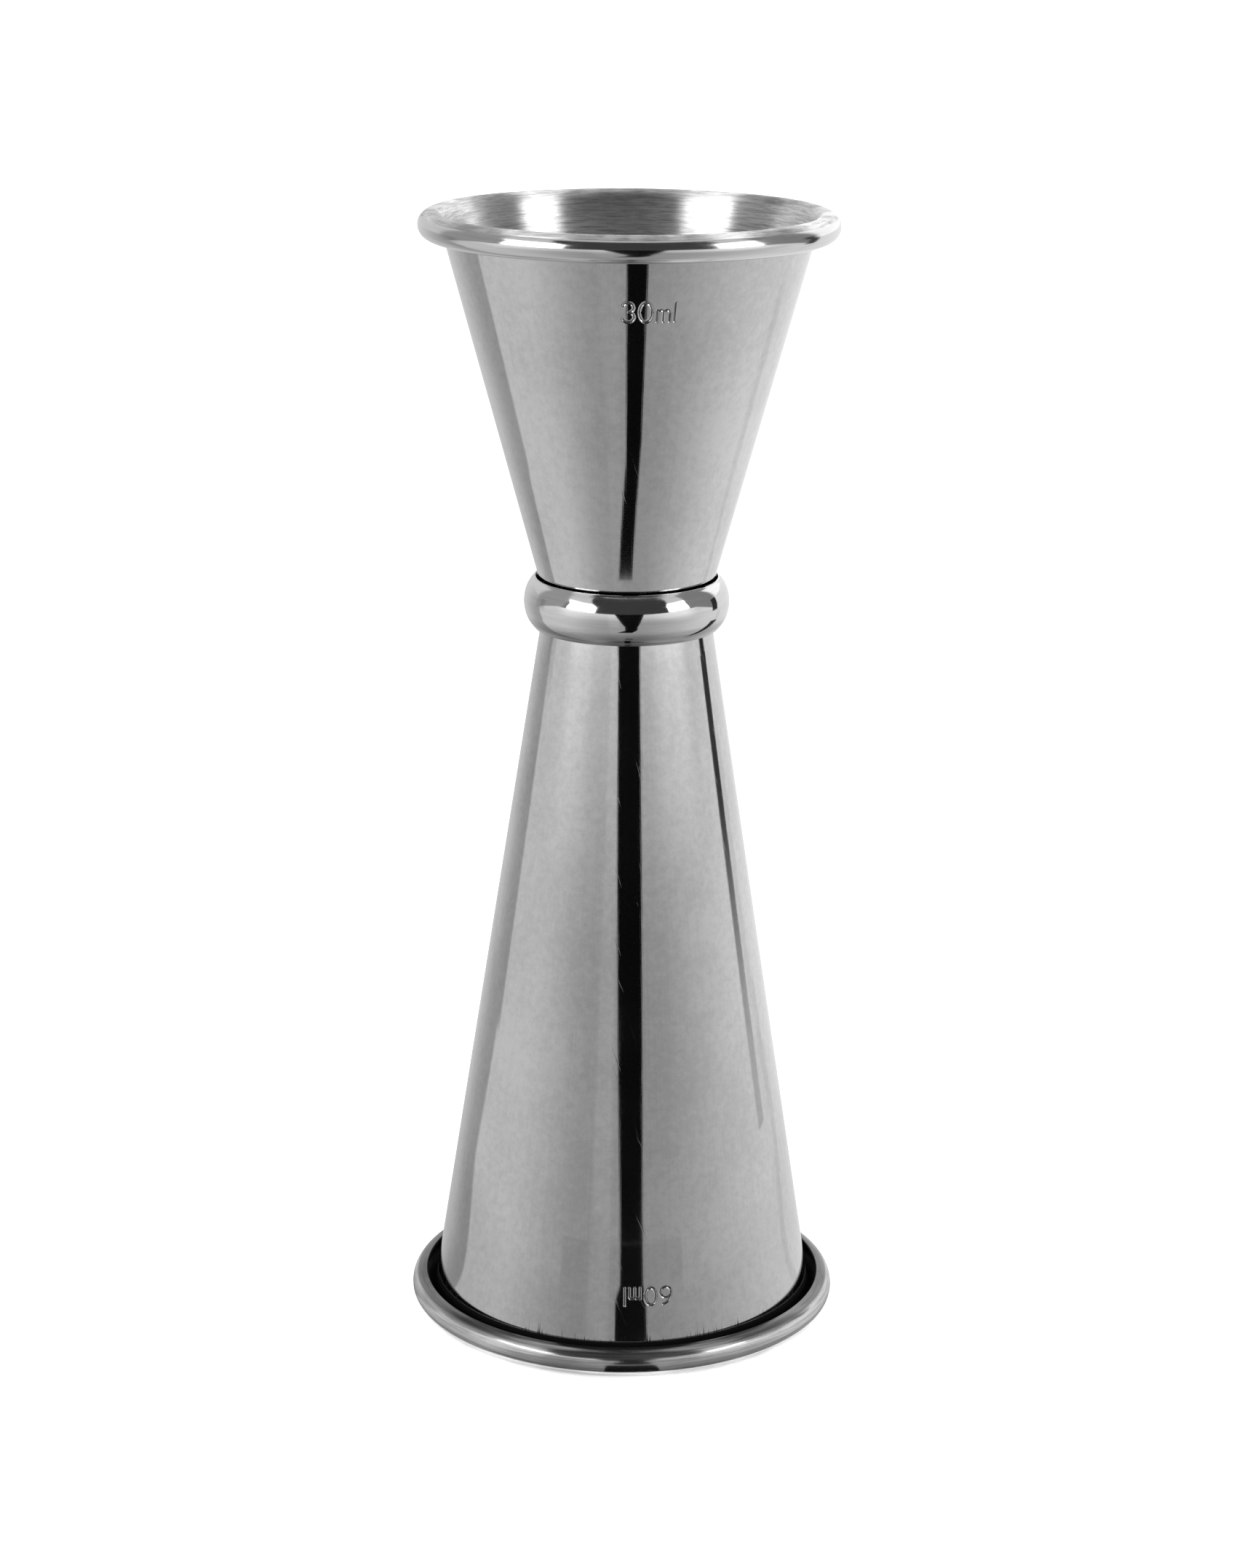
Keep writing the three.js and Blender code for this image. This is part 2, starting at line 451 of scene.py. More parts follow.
class Shader:
    """A Principled material and short calls that add nodes to it."""

    def __init__(self, name, color, roughness, metallic=1.0):
        self.material = bpy.data.materials.new(name)
        self.material.use_nodes = True
        self.tree = self.material.node_tree
        self.surface = self.tree.nodes["Principled BSDF"]
        self.surface.inputs["Base Color"].default_value = (*color, 1)
        self.surface.inputs["Metallic"].default_value = metallic
        self.surface.inputs["Roughness"].default_value = roughness

    def node(self, kind, settings=None, **inputs):
        """A new node. An input is given by its name, or by its number after the letter i."""
        made = self.tree.nodes.new(kind)
        for key, value in (settings or {}).items():
            setattr(made, key, value)
        for key, value in inputs.items():
            by_number = key[0] == "i" and key[1:].isdigit()
            self.feed(made.inputs[int(key[1:]) if by_number else key], value)
        return made

    def feed(self, socket, value):
        if isinstance(value, bpy.types.NodeSocket):
            self.tree.links.new(value, socket)
        else:
            socket.default_value = value

    def set_surface(self, socket, value):
        self.feed(self.surface.inputs[socket], value)

    def math(self, operation, a, b=0.0):
        return self.node("ShaderNodeMath", {"operation": operation}, i0=a, i1=b).outputs[0]

    def vector(self, operation, a, b=(0, 0, 0)):
        return self.node("ShaderNodeVectorMath", {"operation": operation}, i0=a, i1=b).outputs[0]

    def scaled(self, a, factor):
        made = self.node("ShaderNodeVectorMath", {"operation": "SCALE"}, i0=a)
        self.feed(made.inputs["Scale"], factor)
        return made.outputs[0]

    def weighted(self, *pairs):
        """Sum of values, each times its weight."""
        total = None
        for value, weight in pairs:
            term = self.math("MULTIPLY", value, weight)
            total = term if total is None else self.math("ADD", total, term)
        return total

    def ramp(self, value, low, high, to_low=0.0, to_high=1.0):
        made = self.node("ShaderNodeMapRange", {"interpolation_type": "SMOOTHSTEP"})
        for socket, number in zip(("Value", "From Min", "From Max", "To Min", "To Max"),
                                  (value, low, high, to_low, to_high)):
            self.feed(made.inputs[socket], number)
        return made.outputs["Result"]

    def noise(self, vector, detail=2.0, grit=0.5):
        """Fractal noise: detail is the number of finer layers and grit is how much they count."""
        made = self.node("ShaderNodeTexNoise", Vector=vector, Scale=1.0, Detail=detail,
                         Roughness=grit)
        return made.outputs[0]

    def mixed(self, share, first, second):
        """A colour between two, by a share from 0 to 1. Each is three numbers or a socket."""
        made = self.node("ShaderNodeMix", {"data_type": "RGBA"})
        self.feed(made.inputs["Factor"], share)
        for socket, color in (("A", first), ("B", second)):
            is_socket = isinstance(color, bpy.types.NodeSocket)
            self.feed(made.inputs[socket], color if is_socket else (*color, 1))
        return made.outputs["Result"]

    def place(self):
        """Object coordinates in metres, the height, and the level direction away from the axis."""
        position = self.node("ShaderNodeTexCoord").outputs["Object"]
        height = self.node("ShaderNodeSeparateXYZ", i0=position).outputs[2]
        level = self.vector("MULTIPLY", position, (1, 1, 0))
        return position, height, self.vector("NORMALIZE", level)

    def lengthwise(self, direction, height, lines, length_mm, twist_per_mm=0.0):
        """Noise space whose cells are fine round the axis and long along it, twisted if asked."""
        if twist_per_mm:
            turn = self.math("MULTIPLY", height, twist_per_mm / M)
            rotated = self.node("ShaderNodeVectorRotate", {"rotation_type": "Z_AXIS"}, Vector=direction)
            self.feed(rotated.inputs["Angle"], turn)
            direction = rotated.outputs[0]
        along = self.node("ShaderNodeCombineXYZ",
                          Z=self.math("MULTIPLY", height, 1 / (length_mm * M))).outputs[0]
        return self.vector("ADD", self.scaled(direction, lines), along)

    def ringed(self, direction, height, pitch_mm, across=1.6):
        """Noise space whose cells are thin in height and long round the axis, 1/across of a radian."""
        up = self.node("ShaderNodeCombineXYZ", Z=self.math("MULTIPLY", height, 1 / (pitch_mm * M)))
        return self.vector("ADD", self.scaled(direction, across), up.outputs[0])

    # Share of the colour that is left under a band of painted shade.
    def painted_shade_ramp(self, height, start, end, share):
        """1 at the start height and a share at the end height, in whichever order they come."""
        if start < end:
            return self.ramp(height, start * M, end * M, 1.0, share)
        return self.ramp(height, end * M, start * M, share, 1.0)

    def worn_band(self, position, height, edge_height, reach_mm):
        """Uneven wear that is strongest at one height, from 0 to 1."""
        offset = self.math("ABSOLUTE", self.math("SUBTRACT", height, edge_height * M))
        near = self.ramp(offset, 0.0, reach_mm * M, 1.0, 0.0)
        blotches = self.noise(self.scaled(position, 420), detail=4, grit=0.6)
        return self.math("MULTIPLY", near, self.ramp(blotches, *WEAR_RANGE))

    def bump(self, height, depth_mm, normal=None):
        made = self.node("ShaderNodeBump", Strength=1.0, Distance=depth_mm * M, Height=height)
        if normal:
            self.feed(made.inputs["Normal"], normal)
        return made.outputs[0]


def grey(level):
    return (level, level, level)


def drawn_steel(name, rough, grain_depth, seam_start, seam_side):
    """Polished sheet: lengthwise grain, faint turned lines, scratches and smudges.

    rough is the lowest and highest roughness. From the height seam_start towards the rim curl the
    colour turns near black with an uneven streaky edge, painted shade in the curl's recess. seam_side
    is +1 when the curl is above that height and -1 when it is below.
    """
    s = Shader(name, grey(CUP_TONE), rough[0])
    position, height, direction = s.place()
    grain = s.noise(s.lengthwise(direction, height, lines=120, length_mm=30), detail=4, grit=0.62)
    turned = s.noise(s.ringed(direction, height, pitch_mm=0.5), detail=3, grit=0.6)
    scratch_space = s.lengthwise(direction, height, lines=60, length_mm=5, twist_per_mm=0.022)
    scratches = s.ramp(s.noise(scratch_space, detail=2), *SCRATCH_RANGE)
    smudges = s.noise(s.scaled(position, 55), detail=3, grit=0.55)

    # Painted shade: near-black streaks that reach up the wall from the curl's recess.
    ticks = s.noise(s.lengthwise(direction, height, lines=130, length_mm=40), detail=3, grit=0.7)
    reach = s.ramp(ticks, *TICK_RANGE, 0.0, SEAM_TICK * M)
    past_seam = s.math("MULTIPLY", s.math("SUBTRACT", height, seam_start * M), seam_side)
    seam = s.ramp(s.math("ADD", past_seam, reach), -SEAM_SOFT * M, SEAM_SOFT * M)

    mottle = s.noise(s.scaled(position, 1100), detail=4, grit=0.75)
    shade = s.weighted((grain, 0.15), (smudges, 0.4), (mottle, 0.45))
    dark, light = (grey(CUP_TONE * share) for share in CUP_TONE_SPREAD)
    steel = s.mixed(s.ramp(shade, *SHADE_RANGE), dark, light)
    # The seam's near black is painted shade.
    s.set_surface("Base Color", s.mixed(seam, steel, SEAM_SHADE_COLOR))

    roughness = s.ramp(smudges, *SMUDGE_RANGE, *rough)
    roughness = s.math("ADD", roughness, s.math("MULTIPLY", scratches, SCRATCH_ROUGHNESS))
    roughness = s.math("ADD", roughness, s.math("MULTIPLY", seam, SEAM_ROUGHNESS))
    s.set_surface("Roughness", roughness)
    normal = s.bump(grain, grain_depth)
    normal = s.bump(turned, grain_depth * TURNED_DEPTH_SHARE, normal)
    normal = s.bump(scratches, grain_depth * SCRATCH_DEPTH_SHARE, normal)
    s.set_surface("Normal", normal)
    return s.material


def brushed_steel(name, tone, rough, pitch_mm, line_depth, worn_height, stretch,
                  across=1.6, contrast=0.06, painted_shade=None):
    """Steel brushed or turned round the axis. Reflections blur across the lines, by stretch.

    rough is the lowest and highest roughness. The last argument is (from, to, share): between these
    heights the steel's colour darkens to a share of its tone, as painted shade.
    """
    s = Shader(name, grey(tone), rough[0])
    position, height, direction = s.place()
    lines = s.noise(s.ringed(direction, height, pitch_mm, across), detail=5, grit=0.75)
    patches = s.noise(s.scaled(position, 90), detail=2)
    wear = s.worn_band(position, height, worn_height, WEAR_REACH)
    shade = s.weighted((lines, 0.65), (patches, 0.35))
    dark, light = grey(tone * (1 - contrast)), grey(tone * (1 + contrast))
    color = s.mixed(s.ramp(shade, *SHADE_RANGE), dark, light)
    # Painted shade: the colour darkens over a band of heights.
    if painted_shade:
        wander = s.math("MULTIPLY", s.math("SUBTRACT", lines, 0.5), 0.5 * M)
        color = s.scaled(color, s.painted_shade_ramp(s.math("ADD", height, wander), *painted_shade))
    s.set_surface("Base Color", color)
    roughness = s.ramp(patches, *BLOTCH_RANGE, *rough)
    s.set_surface("Roughness", s.math("ADD", roughness, s.math("MULTIPLY", wear, WEAR_ROUGHNESS)))
    s.set_surface("Normal", s.bump(lines, line_depth))
    if stretch:
        s.set_surface("Anisotropic", stretch)
        s.set_surface("Anisotropic Rotation", 0.25)
        tangent = s.node("ShaderNodeTangent", {"direction_type": "RADIAL", "axis": "Z"})
        s.set_surface("Tangent", tangent.outputs[0])
    return s.material


def blotched_metal(name, color, dark, light, roughness, size, bump_depth, **pattern):
    """Dull metal with blotches between two colours. size is how many of their cells make a metre."""
    s = Shader(name, color, roughness)
    position, _, _ = s.place()
    blotches = s.noise(s.scaled(position, size), **pattern)
    s.set_surface("Base Color", s.mixed(s.ramp(blotches, *BLOTCH_RANGE), dark, light))
    s.set_surface("Roughness", s.ramp(blotches, *BLOTCH_RANGE, roughness - 0.1, roughness + 0.1))
    s.set_surface("Normal", s.bump(blotches, bump_depth))
    return s.material


def seam_shade_and_mark_steel(name, color, roughness):
    """Dark blotched steel: near black in the rim seam, as painted shade in the curl's recess, and dark
    grey on the marks' floors.
    """
    dark = [c * 0.6 for c in color]
    light = [c * 1.5 for c in color]
    return blotched_metal(name, color, dark, light, roughness, size=700, bump_depth=0.01,
                          detail=4, grit=0.6)


def braze_alloy():
    return blotched_metal("braze_alloy", (0.6, 0.57, 0.5), (0.55, 0.51, 0.43), (0.68, 0.65, 0.58), 0.5,
                          size=1500, bump_depth=0.02, detail=3)


# ==== studio =======================================================================================
#
# Polished steel shows mostly what it mirrors. The surfaces here are seen only in reflections: a
# paper table, a round paper screen, the room over them, and a few cards. Azimuths and elevations
# are in degrees, with negative azimuths on the left, and brightness is relative to white.
#
# A change is (its middle, its width), and so are the values called foot, top, join and heights. A band
# is (its start, its end, how soft both are). A paper is (the first level, the gain, the change).

DOME_RADIUS = 1000.0
DOME_CENTRE = 100.0            # its centre's height over the table
DOME_FOOT = -6                 # its lowest elevation, which the screen hides
SCREEN_RADIUS = 200.0          # the paper screen stands round the jigger
SCREEN_HEIGHT = 125.0
FLOOR_START = 24.9             # just outside the lower rim
FLOOR_LIFT = 0.05              # the paper table's height over the studio's floor
SLIT_LIFT = 0.2
SKIRT_RADIUS = 45.0            # a low paper edge in front of the foot
SKIRT_HEIGHT = 12.0
SKIRT_REACH = 30               # azimuth of its ends

# The paper, by azimuth.
PAPER_LEFT = (0.42, 0.31, (50, 60))
PAPER_RIGHT = (0.39, 0.50, (65, 110))
PAPER_BEHIND_LEFT = (0.42, 0.24, (132, 36))
PAPER_BEHIND_RIGHT = 0.93
JOIN_LEFT = (110, 2)           # where the sheets beside and behind the jigger meet
JOIN_RIGHT = (117, 3)
FRONT_BAND = (7, 19, 4)        # a lighter band left of the slit
FRONT_BAND_ON_SCREEN = 0.07
FRONT_BAND_ON_FLOOR = 0.02

# The table.
FLOOR_NEAR_SHARE = 0.88        # it is a little darker close to the jigger
FLOOR_NEAR_CHANGE = (85, 40)
FOOT_SHADE = 0.45
FOOT_CHANGE = (26.4, 2.4)
NEAR_START = 105               # from here inwards the azimuth that the wall mirrors drifts
NEAR_SPAN = 60
NEAR_DRIFT = (0.975, 0.205, 1.7)

# The gap between two sheets of the screen, on the right, and the faint shadows near the joins.
GAP_AZIMUTH = 113.0
GAP_LEVEL = 0.03
GAP_HALF_WIDTH = (2.4, 0.045, 5.0)     # at the table, added for each mm of height, and the widest
GAP_SOFT = 1.0
GAP_FOOT = (56, 10)            # the gap opens above this height
GAP_TOP = (10, 4)              # and closes above this elevation, over the screen
RIGHT_SHADOW = (118, 126, 4)
RIGHT_SHADOW_DEPTH = 0.14
RIGHT_SHADOW_TOP = (48, 20)
LEFT_SHADOW = (-110, -102, 4)
LEFT_SHADOW_DEPTH = 0.22
LEFT_SHADOW_FOOT = (62, 24)

# The screen's upper part.
TOP_GAIN = (0.5, 0.1)          # extra light in front and behind
TOP_GAIN_CHANGE = (75, 20)
TOP_GAIN_HEIGHTS = (85, 120)
GLOW_LEFT = (45, 70, 14)
GLOW_LEFT_GAIN = 0.08
GLOW_RIGHT = (36, 78, 26)
GLOW_RIGHT_GAIN = 0.17
GLOW_HEIGHTS = (65, 50)
EDGE_HEIGHT = 122              # the screen's upper edge, in front
EDGE_DROP = 1.8                # its fall for each degree towards the back
EDGE_DROP_START = 82
EDGE_SOFT = 2

# The room over the screen.
ROOM_FRONT = 0.055
ROOM_LEFT = 0.38
ROOM_RIGHT = 0.27
ROOM_SIDE_CHANGE = (75, 8)
BEHIND_LEFT = 0.74
BEHIND_RIGHT = 1.35
BEHIND_CHANGE = (121, 8)
BEHIND_TOP_SHARE = 0.35
BEHIND_TOP = (35, 8)
OVERHEAD_FRONT = 0.07
OVERHEAD_BACK = 1.4
OVERHEAD_CHANGE = (78, 25)
OVERHEAD_FOOT = (56, 10)
OVERHEAD_TOP = (76, 8)

# Two soft boxes over the screen. Each side leans by so many degrees for each degree over the foot.
BOX_FOOT = 27
BOX_TOP = (60, 8)
BOX_SOFT = 2.5
BOXES = (
    {"left": -71, "left_lean": -0.9, "right": -36, "right_lean": -0.75},
    {"left": 49, "left_lean": 0.4, "right": 75, "right_lean": 0.4},
)
BOX_BRIGHT = 5.0
BOX_DIM = 0.75
BOX_DIM_CHANGE = (34, 10)

# The open slit on the camera's side, which makes the dark stripe. Edges are (left, right).
DARK = 0.004
FLOOR_SLIT_START = 104.5
FLOOR_SLIT = (-11, 7)
FLOOR_SLIT_DRIFT = (9.5, 5.5)
FLOOR_SLIT_DRIFT_SPAN = (26, 31)
NEAR_SLIT = (-4.5, 10.5)
NEAR_SLIT_END = 34
SCREEN_SLIT = (-1.5, 12.5)
SCREEN_SLIT_DRIFT = (-0.09, 0.05)      # for each mm of height
SKIRT_SLIT = (-1.0, 10.2)
SKIRT_SLIT_FLARE = (-2.0, 1.2)
SKIRT_SLIT_FLARE_TOP = (6, 2)

# A dark slip of card that leans in beside the lower cup. Pairs are at its foot and at its top.
SIDE_LINE_HEIGHT = 78.5
SIDE_LINE_START = 16
SIDE_LINE_DISTANCE = (60.0, 20.0)
SIDE_LINE_HALF_WIDTH = (3.6, 1.9)
SIDE_LINE_AZIMUTH = (117.6, 113.4)
SIDE_LINE_LEVEL = (0.62, 0.05)
SIDE_LINE_CHANGE = (42, 46)
SIDE_LINE_CUP_SLOPE = 0.155    # the lower cup's wall
SIDE_LINE_CUP_TOP = 6          # how far below the waist the wall is seen from
SIDE_LINE_GRAZE = 0.84         # sine of the angle round the wall at which it is mirrored

# A strip of white card close over the upper rim.
RIM_CARD_RISE = 10.0
RIM_CARD_DISTANCE = (21.5, 28.3)
RIM_CARD_REACH = 77
RIM_CARD_END = (72, 10)
RIM_CARD_LEVEL = 0.65

# What the camera sees round the jigger.
FLOOR_HALF_WIDTH = 6.0         # metres
FLOOR_WHITE = 0.93
FLOOR_GLOW = 0.3
WORLD_STRENGTH = 1.7


def step(value, edge, soft):
    """0 below the edge and 1 above it, with a soft change between."""
    t = np.clip((value - edge) / soft + 0.5, 0, 1)
    return t * t * (3 - 2 * t)


def between(value, low, high, soft):
    return step(value, low, soft) * (1 - step(value, high, soft))


def blend(first, second, share):
    return first + (second - first) * share


def rise(value, first, gain, change):
    return first + gain * step(value, *change)


def paper_level(azimuth, front_band):
    """Brightness of the white paper near the table. front_band is what its lighter band adds."""
    side = np.abs(azimuth)
    left = rise(side, *PAPER_LEFT) + front_band * between(side, *FRONT_BAND)
    left = blend(left, rise(side, *PAPER_BEHIND_LEFT), step(side, *JOIN_LEFT))
    right = blend(rise(side, *PAPER_RIGHT), PAPER_BEHIND_RIGHT, step(side, *JOIN_RIGHT))
    return np.where(azimuth < 0, left, right)


def near_azimuth(azimuth, distance):
    """Azimuth on the screen of the paper that the wall mirrors in line with a nearer point."""
    base, gain, power = NEAR_DRIFT
    nearness = np.clip((NEAR_START - distance) / NEAR_SPAN, 0, None)
    return azimuth * (base + gain * nearness ** power)


def right_shadow(azimuth):
    return RIGHT_SHADOW_DEPTH * between(azimuth, *RIGHT_SHADOW)


def floor_level(azimuth, distance):
    """Brightness of the paper on the table, inside the screen."""
    seen = near_azimuth(azimuth, distance)
    near = blend(FLOOR_NEAR_SHARE, 1.0, step(distance, *FLOOR_NEAR_CHANGE))
    foot = blend(FOOT_SHADE, 1.0, step(distance, *FOOT_CHANGE))
    return paper_level(seen, FRONT_BAND_ON_FLOOR) * near * (1 - right_shadow(seen)) * foot


def side_gap(azimuth, height):
    """1 in the gap, which widens upwards, and 0 beside it."""
    at_table, growth, widest = GAP_HALF_WIDTH
    half_width = np.clip(at_table + growth * height, None, widest)
    return between(azimuth, GAP_AZIMUTH - half_width, GAP_AZIMUTH + half_width, GAP_SOFT)


def skirt_level(azimuth, _height):
    seen = near_azimuth(azimuth, SKIRT_RADIUS)
    return FLOOR_NEAR_SHARE * paper_level(seen, FRONT_BAND_ON_SCREEN)


def screen_level(azimuth, height):
    """Brightness of the screen. Its upper edge drops away towards the back."""
    side = np.abs(azimuth)
    left = azimuth < 0
    top_gain = blend(*TOP_GAIN, step(side, *TOP_GAIN_CHANGE))
    level = paper_level(azimuth, FRONT_BAND_ON_SCREEN) + top_gain * step(height, *TOP_GAIN_HEIGHTS)
    glow_left = GLOW_LEFT_GAIN * between(side, *GLOW_LEFT)
    glow_right = GLOW_RIGHT_GAIN * between(side, *GLOW_RIGHT)
    level += np.where(left, glow_left, glow_right) * step(height, *GLOW_HEIGHTS)
    upper_edge = EDGE_HEIGHT - EDGE_DROP * np.clip(side - EDGE_DROP_START, 0, None)
    over_edge = step(height, upper_edge, EDGE_SOFT) * (1 - step(side, *JOIN_RIGHT))
    level = blend(level, np.where(left, ROOM_LEFT, ROOM_RIGHT), over_edge)
    level *= 1 - LEFT_SHADOW_DEPTH * between(azimuth, *LEFT_SHADOW) * step(height, *LEFT_SHADOW_FOOT)
    level *= 1 - right_shadow(azimuth) * (1 - step(height, *RIGHT_SHADOW_TOP))
    return blend(level, GAP_LEVEL, side_gap(azimuth, height) * step(height, *GAP_FOOT))


def boxes_at(azimuth, elevation):
    """1 in the soft boxes' azimuths, and 0 beside them and above them."""
    lean = np.clip(elevation - BOX_FOOT, 0, None)
    inside = sum(between(azimuth, box["left"] + box["left_lean"] * lean,
                         box["right"] + box["right_lean"] * lean, BOX_SOFT) for box in BOXES)
    return inside * (1 - step(elevation, *BOX_TOP))


def dome_level(azimuth, elevation):
    """Brightness of the room and its lamps over the screen."""
    side = np.abs(azimuth)
    left = azimuth < 0
    room = blend(ROOM_FRONT, np.where(left, ROOM_LEFT, ROOM_RIGHT), step(side, *ROOM_SIDE_CHANGE))
    behind = np.where(left, BEHIND_LEFT, BEHIND_RIGHT)
    behind = behind * blend(1.0, BEHIND_TOP_SHARE, step(elevation, *BEHIND_TOP))
    level = blend(room, behind, step(side, *BEHIND_CHANGE))
    far = step(side, *OVERHEAD_CHANGE) * (1 - step(elevation, *OVERHEAD_TOP))
    overhead = blend(OVERHEAD_FRONT, OVERHEAD_BACK, far)
    level = blend(level, overhead, step(elevation, *OVERHEAD_FOOT))
    lamp = blend(BOX_BRIGHT, BOX_DIM, step(elevation, *BOX_DIM_CHANGE))
    level = blend(level, lamp, boxes_at(azimuth, elevation))
    return blend(level, GAP_LEVEL, side_gap(azimuth, SCREEN_HEIGHT) * (1 - step(elevation, *GAP_TOP)))


def glowing(name):
    """Material whose glow follows the mesh's level attribute."""
    material = bpy.data.materials.new(name)
    material.use_nodes = True
    nodes, links = material.node_tree.nodes, material.node_tree.links
    nodes.clear()
    level = nodes.new("ShaderNodeAttribute")
    level.attribute_name = "level"
    glow = nodes.new("ShaderNodeEmission")
    output = nodes.new("ShaderNodeOutputMaterial")
    links.new(level.outputs["Fac"], glow.inputs["Strength"])
    links.new(glow.outputs[0], output.inputs["Surface"])
    return material


def add_staging(name, mesh, material, hidden_from=()):
    """A thing of the studio. hidden_from lists the kinds of ray that pass it by."""
    mesh.materials.append(material)
    made = bpy.data.objects.new(name, mesh)
    bpy.context.scene.collection.objects.link(made)
    for ray in hidden_from:
        setattr(made, "visible_" + ray, False)


def reflector(name, first, second, to_points, level):
    """A studio surface seen only in reflections, given on a grid of two coordinates."""
    a, b = np.meshgrid(first, second, indexing="ij")
    points = to_points(a, b) * M
    rows, columns = a.shape
    faces = []
    for i in range(rows - 1):
        for j in range(columns - 1):
            corner = i * columns + j
            faces.append((corner, corner + 1, corner + columns + 1, corner + columns))
    mesh = bpy.data.meshes.new(name)
    mesh.from_pydata(points.reshape(-1, 3).tolist(), [], faces)
    mesh.attributes.new("level", "FLOAT", "POINT").data.foreach_set("value", level(a, b).ravel())
    add_staging(name, mesh, glowing(name),
                hidden_from=("camera", "diffuse", "shadow", "transmission", "volume_scatter"))


def slit(name, edges, to_points, along):
    """A dark strip whose two edges, in degrees of azimuth, vary along it."""
    def points(across, position):
        left, right = edges(position)
        return to_points(blend(left, right, across), position)

    def dark(across, _position):
        return np.full_like(across, DARK)

    reflector(name, np.linspace(0, 1, 9), along, points, dark)


def around(azimuth, distance, height):
    """Points on rings round the axis, with azimuths in degrees."""
    a = np.radians(azimuth)
    return np.stack([distance * np.sin(a), -distance * np.cos(a), np.broadcast_to(height, a.shape)], -1)


def floor_point(azimuth, distance):
    return around(azimuth, distance, FLOOR_LIFT)


def skirt_point(azimuth, height):
    return around(azimuth, SKIRT_RADIUS, height)


def screen_point(azimuth, height):
    return around(azimuth, SCREEN_RADIUS, height)


def dome_point(azimuth, elevation):
    e = np.radians(elevation)
    return around(azimuth, DOME_RADIUS * np.cos(e), DOME_CENTRE + DOME_RADIUS * np.sin(e))


def floor_slit_point(azimuth, distance):
    return around(azimuth, distance, SLIT_LIFT)


def skirt_slit_point(azimuth, height):
    return around(azimuth, SKIRT_RADIUS - 0.2, height)


def screen_slit_point(azimuth, height):
    return around(azimuth, SCREEN_RADIUS - 0.5, height)


def floor_slit_edges(distance):
    past = distance - FLOOR_SLIT_START
    return [edge + drift * np.clip(past / span, 0, 1)
            for edge, drift, span in zip(FLOOR_SLIT, FLOOR_SLIT_DRIFT, FLOOR_SLIT_DRIFT_SPAN)]


def near_slit_edges(_distance):
    return NEAR_SLIT


def screen_slit_edges(height):
    return [edge + drift * height for edge, drift in zip(SCREEN_SLIT, SCREEN_SLIT_DRIFT)]


def skirt_slit_edges(height):
    wide = 1 - step(height, *SKIRT_SLIT_FLARE_TOP)
    return [edge + flare * wide for edge, flare in zip(SKIRT_SLIT, SKIRT_SLIT_FLARE)]


def side_line_point(across, height):
    """The leaning card follows the line that the lower cup's wall mirrors at one place round it."""
    share = height / SIDE_LINE_HEIGHT
    distance = blend(*SIDE_LINE_DISTANCE, share)
    half_width = blend(*SIDE_LINE_HALF_WIDTH, share)
    drop = WAIST_HEIGHT - SIDE_LINE_CUP_TOP - height
    mirrored_radius = LARGE_CUP["waist_radius"] + SIDE_LINE_CUP_SLOPE * drop
    turn = np.degrees(np.arcsin(SIDE_LINE_GRAZE * mirrored_radius / distance))
    azimuth = blend(*SIDE_LINE_AZIMUTH, share) - turn
    return around(azimuth + np.degrees(across * half_width / distance), distance, height)


def side_line_level(_across, height):
    return blend(*SIDE_LINE_LEVEL, step(height, *SIDE_LINE_CHANGE))


def rim_card_point(azimuth, distance):
    return around(azimuth, distance, OVERALL_HEIGHT + RIM_CARD_RISE)


def rim_card_level(azimuth, _distance):
    return RIM_CARD_LEVEL * (1 - step(np.abs(azimuth), *RIM_CARD_END))


def build_reflectors():
    turn = np.linspace(-180, 180, 721)
    floor_rings = np.linspace(FLOOR_START, SCREEN_RADIUS, 120)
    reflector("floor_reflector", turn, floor_rings, floor_point, floor_level)
    skirt_turn = np.linspace(-SKIRT_REACH, SKIRT_REACH, 61)
    reflector("skirt", skirt_turn, np.linspace(0, SKIRT_HEIGHT, 3), skirt_point, skirt_level)
    reflector("screen", turn, np.linspace(0, SCREEN_HEIGHT, 90), screen_point, screen_level)
    reflector("light_dome", turn, np.linspace(DOME_FOOT, 90, 193), dome_point, dome_level)

    slit("floor_slit", floor_slit_edges, floor_slit_point,
         np.linspace(FLOOR_SLIT_START, SCREEN_RADIUS, 60))
    slit("near_slit", near_slit_edges, floor_slit_point, np.linspace(FLOOR_START, NEAR_SLIT_END, 3))
    slit("screen_slit", screen_slit_edges, screen_slit_point, np.linspace(0, SCREEN_HEIGHT, 3))
    slit("skirt_slit", skirt_slit_edges, skirt_slit_point, np.linspace(0, SKIRT_HEIGHT, 13))

    rim_turn = np.linspace(-RIM_CARD_REACH, RIM_CARD_REACH, 155)
    reflector("rim_card", rim_turn, np.linspace(*RIM_CARD_DISTANCE, 3), rim_card_point, rim_card_level)
    side_heights = np.linspace(SIDE_LINE_START, SIDE_LINE_HEIGHT, 31)
    reflector("side_line", np.linspace(-1, 1, 3), side_heights, side_line_point, side_line_level)


